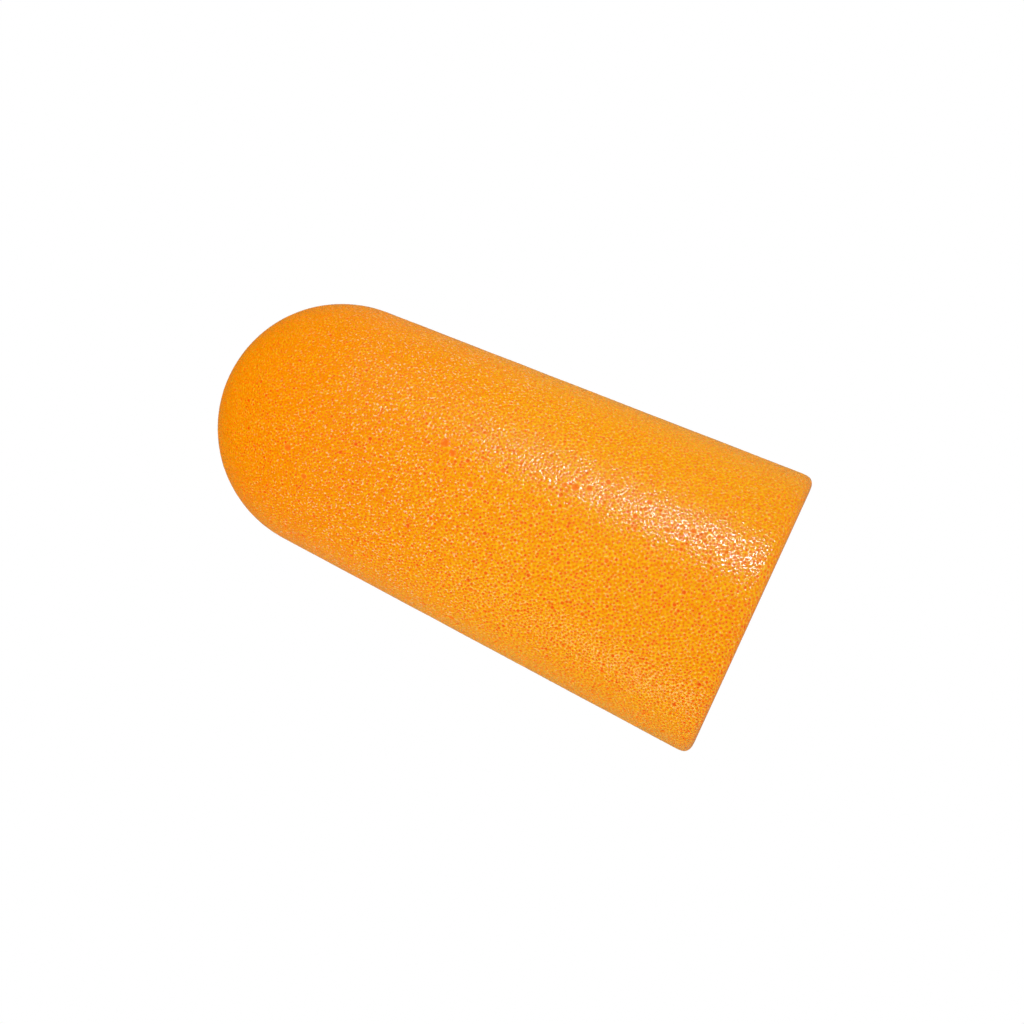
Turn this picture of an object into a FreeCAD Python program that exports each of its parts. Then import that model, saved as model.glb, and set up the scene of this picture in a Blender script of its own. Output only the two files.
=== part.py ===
import FreeCAD, Part
import math
import os

# Roll-down foam ear plug, for one ear. The whole plug is one moulded piece of slow-recovery foam:
# a flat round base, a side that narrows straight from the base towards the nose, and a round nose.
#
# Frame, in millimetres: the origin is the middle of the flat base, +Z runs along the plug's axis
# to the tip of the nose. The plug stands on its base, and is round about Z.

# Driving dimensions
LENGTH = 24.0            # flat base to the tip of the nose
BASE_DIAMETER = 12.7     # where the base and the side would meet if that edge were sharp
NOSE_RADIUS = 5.2        # the ball that ends the plug
EDGE_RADIUS = 0.4        # rounding of the edge between the base and the side

BASE_RADIUS = BASE_DIAMETER / 2
NOSE_CENTRE_Z = LENGTH - NOSE_RADIUS


def side_taper():
    """Angle between the side and the axis, in radians, for a side that runs into the nose smoothly."""
    corner_to_nose_centre = math.hypot(BASE_RADIUS, NOSE_CENTRE_Z)
    corner_angle = math.atan2(NOSE_CENTRE_Z, BASE_RADIUS)
    return math.acos(NOSE_RADIUS / corner_to_nose_centre) - corner_angle


def plug_outline(taper):
    """Half of the plug's lengthwise section, as a closed wire in the XZ plane."""
    outwards = FreeCAD.Vector(math.cos(taper), 0, math.sin(taper))

    # The edge rounding is a ball rolled into the corner, touching the base and the side.
    edge_centre_r = BASE_RADIUS - EDGE_RADIUS * (1 + math.sin(taper)) / math.cos(taper)
    edge_centre = FreeCAD.Vector(edge_centre_r, 0, EDGE_RADIUS)
    edge_start = FreeCAD.Vector(edge_centre_r, 0, 0)
    halfway = (taper - math.pi / 2) / 2
    edge_middle = edge_centre + EDGE_RADIUS * FreeCAD.Vector(math.cos(halfway), 0, math.sin(halfway))
    edge_end = edge_centre + EDGE_RADIUS * outwards

    nose_centre = FreeCAD.Vector(0, 0, NOSE_CENTRE_Z)
    nose_start = nose_centre + NOSE_RADIUS * outwards
    halfway = (taper + math.pi / 2) / 2
    nose_middle = nose_centre + NOSE_RADIUS * FreeCAD.Vector(math.cos(halfway), 0, math.sin(halfway))
    tip = FreeCAD.Vector(0, 0, LENGTH)
    base_middle = FreeCAD.Vector(0, 0, 0)

    return Part.Wire([
        Part.LineSegment(base_middle, edge_start).toShape(),
        Part.Arc(edge_start, edge_middle, edge_end).toShape(),
        Part.LineSegment(edge_end, nose_start).toShape(),
        Part.Arc(nose_start, nose_middle, tip).toShape(),
        Part.LineSegment(tip, base_middle).toShape(),
    ])


def foam_plug():
    """The moulded foam body: its half section, turned once about the axis."""
    half_section = Part.Face(plug_outline(side_taper()))
    return half_section.revolve(FreeCAD.Vector(0, 0, 0), FreeCAD.Vector(0, 0, 1), 360)


os.makedirs("parts", exist_ok=True)
plug = foam_plug()
plug.exportStep("parts/foam_plug.step")

print("side taper, degrees:", round(math.degrees(side_taper()), 3))
print("plug volume, cubic millimetres:", round(plug.Volume, 1), "closed:", plug.isClosed(), "valid:", plug.isValid())
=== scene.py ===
import math
import random

import bpy
import numpy as np
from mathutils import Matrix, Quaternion, Vector, kdtree, noise


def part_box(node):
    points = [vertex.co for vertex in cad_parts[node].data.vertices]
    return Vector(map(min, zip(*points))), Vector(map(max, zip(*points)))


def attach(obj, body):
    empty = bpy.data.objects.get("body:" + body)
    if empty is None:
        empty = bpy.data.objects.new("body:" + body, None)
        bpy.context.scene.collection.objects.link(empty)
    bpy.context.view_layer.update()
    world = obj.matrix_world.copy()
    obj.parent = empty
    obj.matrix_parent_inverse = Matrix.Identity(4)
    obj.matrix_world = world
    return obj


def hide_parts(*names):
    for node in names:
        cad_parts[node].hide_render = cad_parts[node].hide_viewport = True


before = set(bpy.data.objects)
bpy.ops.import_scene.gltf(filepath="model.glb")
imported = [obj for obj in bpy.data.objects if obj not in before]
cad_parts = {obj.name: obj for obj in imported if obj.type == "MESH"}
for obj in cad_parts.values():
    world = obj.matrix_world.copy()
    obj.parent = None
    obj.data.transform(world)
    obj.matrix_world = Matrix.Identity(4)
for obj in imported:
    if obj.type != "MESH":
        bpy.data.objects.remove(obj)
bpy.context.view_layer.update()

# --- Foam plug: outer shape ---------------------------------------------------------------------
# One moulding of slow-recovery polyurethane foam, with nothing inside and nothing fixed to it. The
# mould gives it a flat base, a side that narrows straight to a ball nose, and a rounded base edge.

MM = 0.001
BASE_RADIUS = 6.35 * MM      # where the side would meet the base if its edge weren't rounded
NOSE_RADIUS = 5.2 * MM
EDGE_RADIUS = 0.4 * MM
GRID_CELLS = 23              # mesh cells along each edge of the quad ball, an odd number
EDGE_STEPS = 3
FINE_LEVELS = 3              # each level halves the cells, down to about a twentieth of a millimetre

low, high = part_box("foam_plug")
nose_centre = high[2] - NOSE_RADIUS
nose_from_rim = math.hypot(BASE_RADIUS, nose_centre)
taper = math.acos(NOSE_RADIUS / nose_from_rim) - math.atan2(nose_centre, BASE_RADIUS)

bpy.ops.object.select_all(action="DESELECT")
bpy.ops.mesh.primitive_cube_add(size=2)
plug = bpy.context.object
plug.name = "foam_plug_moulding"
bpy.ops.object.mode_set(mode="EDIT")
bpy.ops.mesh.subdivide(number_cuts=GRID_CELLS - 1)
bpy.ops.object.mode_set(mode="OBJECT")

# The cube becomes a quad ball with its grid lines at equal angles. Its upper half is the nose, its
# lower half is pressed flat as the base, and the one row of cells between them is the side.
edge_offset = EDGE_RADIUS * (1 + math.sin(taper)) / math.cos(taper)
first_ring = 1 / GRID_CELLS
for vertex in plug.data.vertices:
    x, y, z = (math.tan(c * math.pi / 4) for c in vertex.co)
    around = math.atan2(y, x)
    upwards = math.atan2(z, math.hypot(x, y))
    ends_side = abs(abs(vertex.co.z) - first_ring) < first_ring / 2
    if vertex.co.z > 0:
        upwards = taper if ends_side else upwards
        radius = NOSE_RADIUS * math.cos(upwards)
        height = nose_centre + NOSE_RADIUS * math.sin(upwards)
    else:
        flat_radius = (BASE_RADIUS - edge_offset) * (1 + upwards / (math.pi / 2))
        radius = BASE_RADIUS if ends_side else flat_radius
        height = low[2]
    vertex.co = (radius * math.cos(around), radius * math.sin(around), height)


def pick_edges(wanted):
    """Leaves the plug in edit mode with just the edges selected whose two ends pass the test."""
    bpy.ops.object.mode_set(mode="EDIT")
    bpy.ops.mesh.select_mode(type="EDGE")
    bpy.ops.mesh.select_all(action="DESELECT")
    bpy.ops.object.mode_set(mode="OBJECT")
    for edge in plug.data.edges:
        edge.select = wanted(*(plug.data.vertices[v].co for v in edge.vertices))
    bpy.ops.object.mode_set(mode="EDIT")


rim = BASE_RADIUS - EDGE_RADIUS / 4
pick_edges(lambda a, b: max(a.z, b.z) < EDGE_RADIUS and min(a.xy.length, b.xy.length) > rim)
bpy.ops.mesh.bevel(offset=edge_offset, segments=EDGE_STEPS, profile=0.5, affect="EDGES")

side_length = nose_centre / math.cos(taper) - edge_offset
cell_width = math.tau * (BASE_RADIUS + NOSE_RADIUS) / 2 / (4 * GRID_CELLS)
pick_edges(lambda a, b: abs(a.z - b.z) > side_length / 2)
bpy.ops.mesh.subdivide(number_cuts=round(side_length / cell_width) - 1)
bpy.ops.mesh.select_all(action="SELECT")
bpy.ops.mesh.normals_make_consistent(inside=False)
bpy.ops.object.mode_set(mode="OBJECT")

fine = plug.modifiers.new("fine", "SUBSURF")
fine.levels = FINE_LEVELS
fine.render_levels = FINE_LEVELS
bpy.ops.object.modifier_apply(modifier=fine.name)
bpy.ops.object.shade_smooth()

# --- Foam plug: pores, bubbles and grain --------------------------------------------------------
# The foam's cells stop at a thin moulded skin, and each cell that meets it leaves a small round
# pit, finer towards the nose. A few larger bubbles were trapped against the mould. Between the
# pits the skin rises in low ridges and is grainy.

PORE_RADIUS = 0.044 * MM     # of the middle pore, by size
PORE_SPREAD = 0.3            # how much the radii differ, as the sigma of a log-normal spread
LARGEST_PORE = 0.11 * MM
PORE_GAP = 0.082 * MM        # from a pore's rim to the next pore's centre, at least
PORE_DEPTH = 0.7             # of its radius
PORES_IN_NOSE = 0.78         # size of the nose's pores, as a part of the body's
# PORE_SHADES and BUBBLE_SHADE set how strongly each pit is painted with shade.
PORE_SHADES = (0.45, 1.0)    # from the palest pore to the darkest one
RIGHT_PALER = 0.6            # how much paler the pits are painted on the right
BUBBLE_DEPTH = 0.16          # of its radius
BUBBLE_SHADE = 0.55          # the darkest pore has 1
BUBBLE_RIM = 0.35            # how soft its rim is, where a pore's is 1
# The clear ones, as height in mm, degrees round to the right of the front, and radius in mm.
CLEAR_BUBBLES = [
    (14.45, 13, 0.21), (14.0, 10.5, 0.17), (12.8, 1, 0.15), (11.8, 12, 0.11), (8.85, 18, 0.17),
    (9.25, 17, 0.12), (8.3, 20, 0.14), (7.7, 26, 0.12), (5.8, 25, 0.12), (6.1, 17, 0.12),
    (3.65, 21, 0.12), (6.4, -4, 0.11), (6.2, -16, 0.12), (5.1, -28, 0.12), (11.3, -68, 0.17),
]
OTHER_BUBBLES = 26
OTHER_RADII = (0.08 * MM, 0.18 * MM)
RIDGE_HEIGHT = 0.008 * MM    # of the skin's ridge between two pores over the skin round a pore
GRAIN_HEIGHT = 0.005 * MM
GRAIN_WIDTH = 0.12 * MM
WAVE_HEIGHT = 0.006 * MM
WAVE_WIDTH = 1.4 * MM

mesh = plug.data
count = len(mesh.vertices)
places = np.empty(count * 3)
mesh.vertices.foreach_get("co", places)
places = places.reshape(count, 3)
normals = np.empty(count * 3)
mesh.vertex_normals.foreach_get("vector", normals)
normals = normals.reshape(count, 3)

tree = kdtree.KDTree(count)
for index, place in enumerate(places):
    tree.insert(place, index)
tree.balance()

chance = random.Random(31)
order = list(range(count))
chance.shuffle(order)
taken = bytearray(count)
depth = np.zeros(count)
from_pore = np.full(count, 3.0)     # 0 at a pit's middle, 1 at its rim, and 3 far from any
painted_pit_shade = np.zeros(count)          # the shade of the pit that a place is in or next to
centres = []


def dent(centre, radius, gap, steepness, shade, softness):
    """Sinks one round pit into the skin, gives it its painted shade, and keeps its surroundings free of
    other pits.
    """
    centres.append(places[centre])
    for _, near, distance in tree.find_range(places[centre], radius + gap):
        taken[near] = 1
        rim_distance = max(0, 1 + (distance / radius - 1) / softness)
        if rim_distance < from_pore[near]:
            from_pore[near] = rim_distance
            painted_pit_shade[near] = shade
        if distance < radius:
            inside = 1 - (distance / radius) ** 2
            depth[near] = max(depth[near], steepness * radius * inside ** 1.5)


for bubble_height, angle, radius in CLEAR_BUBBLES:
    out = BASE_RADIUS - bubble_height * MM * math.tan(taper)
    turn = math.radians(angle)
    _, centre, _ = tree.find((out * math.sin(turn), -out * math.cos(turn), bubble_height * MM))
    dent(centre, radius * MM, PORE_GAP, BUBBLE_DEPTH, BUBBLE_SHADE, BUBBLE_RIM)
for centre in order[:OTHER_BUBBLES]:
    if not taken[centre]:
        radius = chance.triangular(*OTHER_RADII, OTHER_RADII[0])
        dent(centre, radius, PORE_GAP, BUBBLE_DEPTH, BUBBLE_SHADE, BUBBLE_RIM)
half_way = 0.5 * nose_centre
for centre in order[OTHER_BUBBLES:]:
    if not taken[centre]:
        towards_nose = min(1, max(0, (places[centre][2] - half_way) / half_way))
        fineness = 1 - (1 - PORES_IN_NOSE) * towards_nose
        radius = min(LARGEST_PORE, PORE_RADIUS * chance.lognormvariate(0, PORE_SPREAD))
        towards_right = min(1, max(0, places[centre][0] / BASE_RADIUS + 0.1))
        shade = chance.uniform(*PORE_SHADES) * (1 - RIGHT_PALER * towards_right)
        dent(centre, fineness * radius, fineness * PORE_GAP, PORE_DEPTH, shade, 1)

pores = kdtree.KDTree(len(centres))
for index, place in enumerate(centres):
    pores.insert(place, index)
pores.balance()
ridge = np.zeros(count)
for index, place in enumerate(places):
    (_, _, nearest), (_, _, next_nearest) = pores.find_n(place, 2)
    ridge[index] = (nearest / next_nearest) ** 2
    grain = noise.noise(Vector(place) / GRAIN_WIDTH)
    wave = noise.noise(Vector(place) / WAVE_WIDTH)
    depth[index] += GRAIN_HEIGHT * grain + WAVE_HEIGHT * wave
depth += RIDGE_HEIGHT * (1 - ridge)
depth -= depth.min()

mesh.vertices.foreach_set("co", (places - normals * depth[:, None]).ravel())
mesh.attributes.new("from_pore", "FLOAT", "POINT").data.foreach_set("value", from_pore)
# The pits' painted shade is kept as an attribute for the material.
mesh.attributes.new("painted_pit_shade", "FLOAT", "POINT").data.foreach_set("value", painted_pit_shade)
mesh.attributes.new("ridge", "FLOAT", "POINT").data.foreach_set("value", ridge)
mesh.update()

# --- Foam plug: flat layout of the skin ---------------------------------------------------------
# For baking, the skin is laid out flat in one square sheet: the side unrolled, with its seam at the
# back, and the nose and the base as two discs.

SHEET = 38.5 * MM
SIDE_AT = Vector((19.25, 0.9)) * MM      # middle of the side's lower edge on the sheet
NOSE_AT = Vector((8.6, 29.0)) * MM       # middle of the nose's disc
BASE_AT = Vector((24.0, 28.0)) * MM      # middle of the base's disc
AXIS_GAP = 0.0004 * MM                   # nearest that a place may be to the axis, in a division

corner_vertices = np.empty(len(mesh.loops), dtype=np.int32)
mesh.loops.foreach_get("vertex_index", corner_vertices)
x, y, z = np.moveaxis(places[corner_vertices].reshape(-1, 4, 3), 2, 0)
middle_x, middle_y, middle_z = (part.mean(axis=1, keepdims=True) for part in (x, y, z))
round_middle = np.arctan2(middle_x, -middle_y)
round_side = (np.arctan2(x, -y) - round_middle + math.pi) % math.tau - math.pi + round_middle
out = np.hypot(x, y)
under_edge = np.maximum(0, BASE_RADIUS - z * math.tan(taper) - out)
flat_x = SIDE_AT.x + round_side * (BASE_RADIUS + NOSE_RADIUS) / 2
flat_y = SIDE_AT.y + z - under_edge
in_nose = middle_z > nose_centre + NOSE_RADIUS * math.sin(taper)
from_tip = NOSE_RADIUS * (math.pi / 2 - np.arctan2(z - nose_centre, out))
spread = from_tip / np.maximum(out, AXIS_GAP)
flat_x = np.where(in_nose, NOSE_AT.x + x * spread, flat_x)
flat_y = np.where(in_nose, NOSE_AT.y + y * spread, flat_y)
in_base = (middle_z < EDGE_RADIUS / 4) & (np.hypot(middle_x, middle_y) < BASE_RADIUS - EDGE_RADIUS)
flat_x = np.where(in_base, BASE_AT.x - x, flat_x)
flat_y = np.where(in_base, BASE_AT.y + y, flat_y)
flat = np.stack((flat_x, flat_y), 2) / SHEET
mesh.uv_layers.new(name="OFBake").uv.foreach_set("vector", flat.ravel())

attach(plug, "root")
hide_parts("foam_plug")

# --- Foam plug: material ------------------------------------------------------------------------
# Orange slow-recovery foam with a thin moulded skin. To the eye it is a flat, saturated orange, painted
# redder in the pits as painted shade and dull there, with a satin skin that glints on the ridges between
# them and carries painted glints as light specks on its grain, least of all on the nose.

# The skin's two oranges carry its random tone and its painted shade.
DEEP_ORANGE = "f28a00"
LIGHT_ORANGE = "f6b81a"
# The speck colour is painted glints.
PAINTED_GLINT = "fad0a0"
# The pit colour is painted shade, the redder orange of light bouncing about inside a pit.
PIT_SHADE_ORANGE = "f05400"
SKIN_ROUGHNESS = 0.11        # satin once the facets below have broken up the mirror image
PIT_ROUGHNESS = 1.0
FOAM_IOR = 1.5
# The real skin's texture goes on much finer than this. These are as coarse as they need to be to show.
MOTTLE_WIDTH = 0.12 * MM
GLINT_SPOT = 0.1 * MM
FACET_WIDTH = 0.085 * MM
FACET_HEIGHT = 0.017 * MM


def linear(code):
    """The linear colour of an sRGB hex value such as "f0a020"."""
    parts = [int(code[i:i + 2], 16) / 255 for i in (0, 2, 4)]
    return [p / 12.92 if p <= 0.04045 else ((p + 0.055) / 1.055) ** 2.4 for p in parts] + [1]


def node(shading, kind, inputs, **settings):
    """Adds one node, with its settings, and with a value or a link for each of its inputs."""
    made = shading.nodes.new(kind)
    for name, value in settings.items():
        setattr(made, name, value)
    for name, value in inputs.items():
        if isinstance(value, bpy.types.NodeSocket):
            shading.links.new(value, made.inputs[name])
        else:
            made.inputs[name].default_value = value
    return made


foam = bpy.data.materials.new("moulded_foam_skin")
foam.use_nodes = True
shading = foam.node_tree
shading.nodes.clear()
pore_radii = node(shading, "ShaderNodeAttribute", {}, attribute_name="from_pore").outputs["Fac"]
pore_shade = node(shading, "ShaderNodeAttribute", {}, attribute_name="painted_pit_shade").outputs["Fac"]
ridges = node(shading, "ShaderNodeAttribute", {}, attribute_name="ridge").outputs["Fac"]
where = node(shading, "ShaderNodeTexCoord", {}).outputs["Object"]
mottle = node(shading, "ShaderNodeTexNoise", {"Vector": where, "Scale": 1 / MOTTLE_WIDTH, "Detail": 2})
glint_noise = node(shading, "ShaderNodeTexNoise", {"Vector": where, "Scale": 1 / GLINT_SPOT, "Detail": 1})
facets = node(shading, "ShaderNodeTexNoise", {"Vector": where, "Scale": 1 / FACET_WIDTH, "Detail": 0})
upwards = node(shading, "ShaderNodeSeparateXYZ", {"Vector": where})

# The web of skin between the pits varies at random. Painted shade makes it darker towards each pit and
# lighter on its ridges, and a stronger orange towards the nose.
painted_nose_shade = node(
    shading, "ShaderNodeMapRange",
    {"Value": upwards.outputs["Z"], "From Min": high[2] - 13 * MM, "From Max": high[2] - 3 * MM,
     "To Min": 0.0, "To Max": -0.4},
)
web = node(
    shading, "ShaderNodeMath",
    {0: mottle.outputs["Fac"], 1: 2.4, 2: ridges}, operation="MULTIPLY_ADD",
)
web = node(
    shading, "ShaderNodeMath",
    {0: web.outputs[0], 1: painted_nose_shade.outputs["Result"]}, operation="ADD",
)
paler = node(shading, "ShaderNodeMapRange", {"Value": web.outputs[0], "From Min": 1.15, "From Max": 2.3})
skin = node(
    shading, "ShaderNodeMix",
    {"Factor": paler.outputs["Result"], 6: linear(DEEP_ORANGE), 7: linear(LIGHT_ORANGE)},
    data_type="RGBA",
)

# Painted glints: single light specks on the crests, standing in for light caught by the grain, fewer on
# the nose and near the base.
crests = node(
    shading, "ShaderNodeMath",
    {0: ridges, 1: 0.16, 2: glint_noise.outputs["Fac"]}, operation="MULTIPLY_ADD",
)
glint_spots = node(
    shading, "ShaderNodeMapRange",
    {"Value": crests.outputs[0], "From Min": 0.66, "From Max": 0.84}, interpolation_type="SMOOTHSTEP",
)
glints_fade_to_nose = node(
    shading, "ShaderNodeMapRange",
    {"Value": upwards.outputs["Z"], "From Min": high[2] - 7 * MM, "From Max": high[2] - 1 * MM,
     "To Min": 0.85, "To Max": 0.06},
)
glints_fade_to_base = node(
    shading, "ShaderNodeMapRange",
    {"Value": upwards.outputs["Z"], "From Min": 9 * MM, "From Max": 14 * MM, "To Min": 0.4},
)
painted_glints = node(
    shading, "ShaderNodeMath",
    {0: glint_spots.outputs["Result"], 1: glints_fade_to_nose.outputs["Result"]}, operation="MULTIPLY",
)
painted_glints = node(
    shading, "ShaderNodeMath",
    {0: painted_glints.outputs[0], 1: glints_fade_to_base.outputs["Result"]}, operation="MULTIPLY",
)
skin_with_glints = node(
    shading, "ShaderNodeMix",
    {"Factor": painted_glints.outputs[0], 6: skin.outputs[2], 7: linear(PAINTED_GLINT)},
    data_type="RGBA",
)

# Each pit is painted redder, as painted shade, and made duller from a little outside its rim to half way
# in.
inside = node(
    shading, "ShaderNodeMapRange",
    {"Value": pore_radii, "From Min": 1.25, "From Max": 0.5}, interpolation_type="SMOOTHSTEP",
)
sunk = node(
    shading, "ShaderNodeMath",
    {0: inside.outputs["Result"], 1: pore_shade}, operation="MULTIPLY",
)
colour = node(
    shading, "ShaderNodeMix",
    {"Factor": sunk.outputs[0], 6: skin_with_glints.outputs[2], 7: linear(PIT_SHADE_ORANGE)},
    data_type="RGBA",
)
gloss = node(
    shading, "ShaderNodeMapRange",
    {"Value": inside.outputs["Result"], "From Max": 0.5, "To Min": SKIN_ROUGHNESS,
     "To Max": PIT_ROUGHNESS},
)
bump = node(
    shading, "ShaderNodeBump",
    {"Height": facets.outputs["Fac"], "Distance": FACET_HEIGHT, "Strength": 1.0},
)
surface = node(
    shading, "ShaderNodeBsdfPrincipled",
    {
        "Base Color": colour.outputs[2],
        "Roughness": gloss.outputs["Result"],
        "IOR": FOAM_IOR,
        "Normal": bump.outputs["Normal"],
    },
)
node(shading, "ShaderNodeOutputMaterial", {"Surface": surface.outputs["BSDF"]})
plug.data.materials.append(foam)

# --- Floor --------------------------------------------------------------------------------------
# A plain white tabletop, large enough to run out of sight. The plug stands on it on its base. It is
# lit from below as well, fully so further out than the lamps reach, and the skin doesn't mirror it.

FLOOR_SIZE = 3.0
LAMPS_END = 200 * MM         # how far out the lamps light the floor fully
GLOW_FULL = 340 * MM         # where it takes all of its light from below
GLOW_NEAR = 0.55             # how much it takes under the lamps

bpy.ops.object.select_all(action="DESELECT")
bpy.ops.mesh.primitive_plane_add(size=FLOOR_SIZE, location=(0, 0, low[2]))
floor = bpy.context.object
floor.name = "floor"
floor.visible_glossy = False
table = bpy.data.materials.new("white_tabletop")
table.use_nodes = True
shading = table.node_tree
surface = shading.nodes["Principled BSDF"]
surface.inputs["Base Color"].default_value = linear("bebebe")
surface.inputs["Roughness"].default_value = 0.9
surface.inputs["Emission Color"].default_value = linear("ffffff")
where = node(shading, "ShaderNodeTexCoord", {}).outputs["Object"]
from_plug = node(shading, "ShaderNodeVectorMath", {0: where}, operation="LENGTH")
glow = node(
    shading, "ShaderNodeMapRange",
    {"Value": from_plug.outputs["Value"], "From Min": LAMPS_END, "From Max": GLOW_FULL,
     "To Min": GLOW_NEAR, "To Max": 1.0},
)
shading.links.new(glow.outputs["Result"], surface.inputs["Emission Strength"])
floor.data.materials.append(table)

# --- Studio light -------------------------------------------------------------------------------
# Large soft walls and a soft ceiling for an even fill, which the skin doesn't mirror. A dim, warm
# backdrop and table that it does mirror, and small soft lights near it that make its grain glint.

DARK_SIDE = 0.02             # brightness of the room as the skin mirrors it, on the camera's side
BRIGHT_SIDE = 0.33           # and behind the plug
TABLE_GLOW = 0.3             # and straight down
WARM_WHITE = "ffe1c4"

world = bpy.data.worlds.new("white_studio")
bpy.context.scene.world = world
world.use_nodes = True
world.cycles.sampling_method = "NONE"
air = world.node_tree
air.nodes.clear()
ray = node(air, "ShaderNodeLightPath", {})
where = node(air, "ShaderNodeTexCoord", {}).outputs["Generated"]
way = node(air, "ShaderNodeSeparateXYZ", {"Vector": where})

# What the skin mirrors is brightest level with it and behind, fades upwards, and has a faint table
# straight below.
panels = node(
    air, "ShaderNodeMapRange",
    {"Value": way.outputs["Y"], "From Min": 0.1, "From Max": 0.9, "To Min": DARK_SIDE,
     "To Max": BRIGHT_SIDE},
)
low_down = node(
    air, "ShaderNodeMapRange",
    {"Value": way.outputs["Z"], "From Min": 0.0, "From Max": 0.6, "To Min": 1.0, "To Max": 0.0},
)
mirrored = node(
    air, "ShaderNodeMath",
    {0: panels.outputs["Result"], 1: low_down.outputs["Result"]}, operation="MULTIPLY",
)
mirrored_table = node(
    air, "ShaderNodeMapRange",
    {"Value": way.outputs["Z"], "From Min": -0.35, "From Max": -0.8, "To Min": 0.0,
     "To Max": TABLE_GLOW},
)
mirrored = node(
    air, "ShaderNodeMath",
    {0: mirrored.outputs[0], 1: mirrored_table.outputs["Result"]}, operation="ADD",
)

# The backdrop itself shows as plain white, and it gives no light of its own beyond the mirror image.
lit = node(
    air, "ShaderNodeMix",
    {"Factor": ray.outputs["Is Glossy Ray"], 2: 0.0, 3: mirrored.outputs[0]},
)
shown = node(
    air, "ShaderNodeMix",
    {"Factor": ray.outputs["Is Camera Ray"], 2: lit.outputs[0], 3: 1.0},
)
tint = node(
    air, "ShaderNodeMix",
    {"Factor": ray.outputs["Is Camera Ray"], 6: linear(WARM_WHITE), 7: linear("ffffff")},
    data_type="RGBA",
)
backdrop = node(air, "ShaderNodeBackground", {"Color": tint.outputs[2], "Strength": shown.outputs[0]})
node(air, "ShaderNodeOutputWorld", {"Surface": backdrop.outputs["Background"]})


def softbox(name, angle, height, distance, size, brightness, glint=True, fill=True, colour="ffffff"):
    """A rectangular light that faces the plug; angle is in degrees to the right of the camera.

    With glint the skin mirrors it, and with fill it lights the foam and the floor.
    """
    lamp = bpy.data.lights.new(name, "AREA")
    lamp.shape = "RECTANGLE"
    lamp.size, lamp.size_y = size
    lamp.energy = brightness * math.pi * size[0] * size[1]
    lamp.color = linear(colour)[:3]
    holder = bpy.data.objects.new(name, lamp)
    bpy.context.collection.objects.link(holder)
    turn = math.radians(angle)
    holder.location = (distance * math.sin(turn), -distance * math.cos(turn), height)
    aim = Vector((0, 0, min(height, high[2]))) - holder.location
    holder.rotation_euler = aim.to_track_quat("-Z", "Y").to_euler()
    holder.visible_camera = False
    holder.visible_glossy = glint
    holder.visible_diffuse = fill
    lamp.cycles.use_multiple_importance_sampling = glint


for angle in range(0, 360, 60):
    softbox(
        "wall_%d" % angle, angle, height=200 * MM, distance=350 * MM,
        size=(360 * MM, 400 * MM), brightness=1.3, glint=False,
    )
softbox(
    "ceiling", angle=0, height=400 * MM, distance=1 * MM,
    size=(500 * MM, 500 * MM), brightness=1.05, glint=False,
)
softbox(
    "key", angle=38, height=6.5 * MM, distance=38 * MM,
    size=(5 * MM, 8 * MM), brightness=46, fill=False, colour="e8e0ff",
)
softbox(
    "right", angle=62, height=20 * MM, distance=60 * MM,
    size=(20 * MM, 20 * MM), brightness=0.4, fill=False,
)
softbox(
    "left", angle=-80, height=4 * MM, distance=50 * MM,
    size=(20 * MM, 8 * MM), brightness=2.5, fill=False,
)

# --- Camera -------------------------------------------------------------------------------------
# A long lens level with the base, so that the base shows edge on, turned so that the nose points
# up to the left.

CAMERA_DISTANCE = 400 * MM
VIEW_WIDTH = 42.62 * MM          # width of what the picture takes in at the plug
CAMERA_ROLL = 65.315             # degrees from upright
AIM = Vector((-0.21 * MM, 0, 10.91 * MM))

lens = bpy.data.cameras.new("camera")
camera = bpy.data.objects.new("camera", lens)
bpy.context.collection.objects.link(camera)
bpy.context.scene.camera = camera
camera.location = (AIM.x, -CAMERA_DISTANCE, low[2])
lens.lens = lens.sensor_width * CAMERA_DISTANCE / VIEW_WIDTH
camera.rotation_mode = "QUATERNION"
look = (AIM - camera.location).to_track_quat("-Z", "Y")
camera.rotation_quaternion = look @ Quaternion((0, 0, 1), math.radians(-CAMERA_ROLL))
bpy.context.scene.view_settings.view_transform = "Standard"
